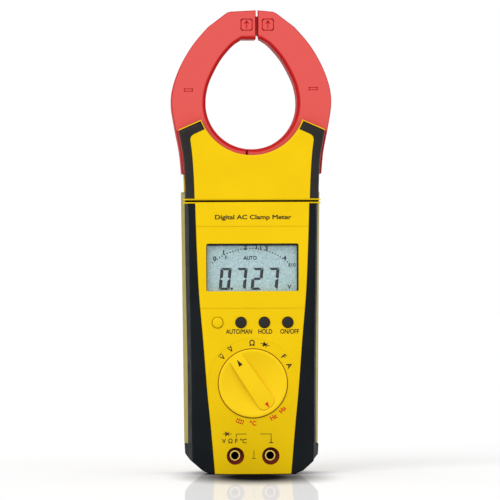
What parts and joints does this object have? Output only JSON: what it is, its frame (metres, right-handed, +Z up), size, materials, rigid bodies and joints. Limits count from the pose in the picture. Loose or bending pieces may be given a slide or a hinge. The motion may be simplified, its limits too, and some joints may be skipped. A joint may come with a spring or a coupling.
{
  "type": "clamp meter",
  "caption": "Hand-held clamp meter with two opening jaws, side levers, a display, four push buttons, a rotary selector and two recessed sockets.",
  "frame": {"origin": "centre of the flat base, under the middle of the bounding box", "axes": "X to the right seen from the front, Y from the front to the back, Z up from the base to the jaw tips; the display, buttons and sockets face -Y"},
  "size_m": [0.0862, 0.0394, 0.2502],
  "materials": {
    "red_plastic": "satin moulded",
    "yellow_plastic": "satin moulded",
    "soft_grip": "soft satin overmould",
    "black_plastic": "satin",
    "white_plastic": "satin",
    "clear_window": "polished",
    "display_grey": "glass of a liquid-crystal display",
    "contact_rubber": "matt",
    "board_green": "solder mask",
    "core_steel": "laminated sheet steel",
    "copper_wire": "enamelled copper winding",
    "steel": "plated",
    "brass": "plated, bright",
    "battery_label": "printed sleeve",
    "red_wire": "insulation",
    "black_wire": "insulation"
  },
  "bodies": {
    "root": {"jaw_left_pivot_pin": "steel", "jaw_right_pivot_pin": "steel", "jaw_return_spring": "steel", "head_front_cover": "yellow_plastic", "head_grip_left": "soft_grip", "head_grip_right": "soft_grip", "body_front_case": "yellow_plastic", "body_grip": "soft_grip", "rear_case": "yellow_plastic", "rear_base_bumper": "soft_grip", "case_screw_lower_left": "steel", "case_screw_lower_right": "steel", "case_screw_upper_left": "steel", "case_screw_upper_right": "steel", "head_screw_left": "steel", "head_screw_right": "steel", "display_window": "clear_window", "display_glass": "display_grey", "display_backlight": "white_plastic", "display_contact_strip": "contact_rubber", "display_frame": "black_plastic", "main_board": "board_green", "board_screw_lower": "steel", "board_screw_upper": "steel", "measuring_chip": "black_plastic", "buzzer": "black_plastic", "tact_switch_mode": "black_plastic", "tact_switch_range": "black_plastic", "tact_switch_hold": "black_plastic", "tact_switch_power": "black_plastic", "socket_tube_left": "brass", "socket_sleeve_left": "black_plastic", "socket_tube_right": "brass", "socket_sleeve_right": "black_plastic", "battery": "battery_label", "battery_snap": "black_plastic", "battery_lead_red": "red_wire", "battery_lead_black": "black_wire", "sensing_lead_left": "black_wire", "sensing_lead_right": "black_wire"},
    "jaw_left": {"jaw_left_front_shell": "red_plastic", "jaw_left_rear_shell": "red_plastic", "jaw_left_core": "core_steel", "jaw_left_coil": "copper_wire"},
    "jaw_right": {"jaw_right_front_shell": "red_plastic", "jaw_right_rear_shell": "red_plastic", "jaw_right_core": "core_steel", "jaw_right_coil": "copper_wire"},
    "selector": {"selector_knob": "yellow_plastic", "selector_rotor": "white_plastic", "selector_wiper": "brass", "detent_ball_left": "steel", "detent_ball_right": "steel"},
    "button_mode": {"button_mode": "yellow_plastic"},
    "button_range": {"button_range": "black_plastic"},
    "button_hold": {"button_hold": "black_plastic"},
    "button_power": {"button_power": "black_plastic"},
    "battery_cover": {"battery_cover": "yellow_plastic", "battery_cover_screw": "steel"}
  },
  "joints": [
    {"name": "jaw_left_hinge", "type": "hinge", "parent": "root", "child": "jaw_left", "pos_m": [-0.02, 0, 0.169], "axis": [0, -1, 0], "range_deg": [0, 21.5], "stiffness_Nm_per_rad": 0.5, "springref_deg": -17.19, "deforming": ["jaw_return_spring"]},
    {"name": "jaw_right_hinge", "type": "hinge", "parent": "root", "child": "jaw_right", "pos_m": [0.02, 0, 0.169], "axis": [0, 1, 0], "range_deg": [0, 21.5], "stiffness_Nm_per_rad": 0.5, "springref_deg": -17.19, "deforming": ["jaw_return_spring"]},
    {"name": "selector_turn", "type": "hinge", "parent": "root", "child": "selector", "pos_m": [0, 0, 0.049], "axis": [0, 1, 0], "range_deg": [-16.4, 98.2]},
    {"name": "button_mode_press", "type": "slide", "parent": "root", "child": "button_mode", "axis": [0, 1, 0], "range_m": [0, 0.0008], "stiffness_N_per_m": 2000, "springref_m": -0.0005},
    {"name": "button_range_press", "type": "slide", "parent": "root", "child": "button_range", "axis": [0, 1, 0], "range_m": [0, 0.0008], "stiffness_N_per_m": 2000, "springref_m": -0.0005},
    {"name": "button_hold_press", "type": "slide", "parent": "root", "child": "button_hold", "axis": [0, 1, 0], "range_m": [0, 0.0008], "stiffness_N_per_m": 2000, "springref_m": -0.0005},
    {"name": "button_power_press", "type": "slide", "parent": "root", "child": "button_power", "axis": [0, 1, 0], "range_m": [0, 0.0008], "stiffness_N_per_m": 2000, "springref_m": -0.0005},
    {"name": "battery_cover_lift", "type": "slide", "parent": "root", "child": "battery_cover", "axis": [0, 1, 0], "range_m": [0, 0.03]}
  ]
}
